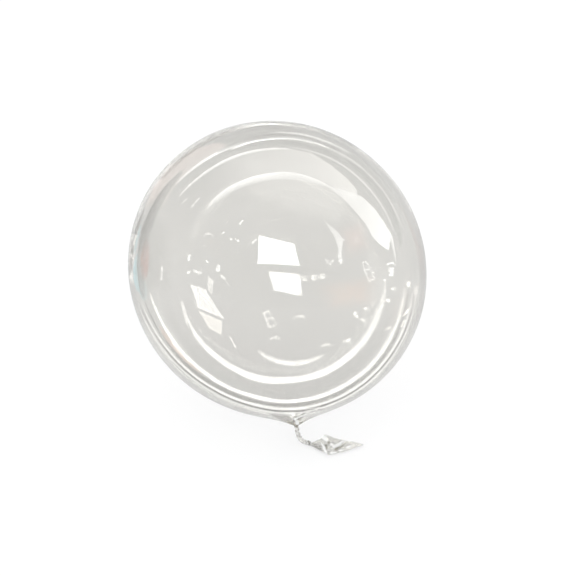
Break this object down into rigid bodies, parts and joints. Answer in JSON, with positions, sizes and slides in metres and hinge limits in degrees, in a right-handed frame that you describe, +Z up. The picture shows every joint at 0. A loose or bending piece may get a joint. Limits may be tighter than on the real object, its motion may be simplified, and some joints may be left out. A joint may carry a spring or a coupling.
{
  "type": "clear bubble balloon",
  "caption": "Inflated clear film balloon lying on its belly, its gathered neck twisted into a short cord that ends in a loose flat film tail on the surface.",
  "frame": {"origin": "middle of the small flat spot on the belly that the balloon rests on", "axes": "+Z up, -Y the side that the neck points to, down and forward, +X the side that the loose end of the neck lies to"},
  "size_m": [0.3594, 0.36, 0.3593],
  "materials": {
    "clear_film": "clear glossy plastic film, see-through, thin and stretched"
  },
  "bodies": {
    "root": {"balloon": "clear_film"}
  },
  "joints": []
}
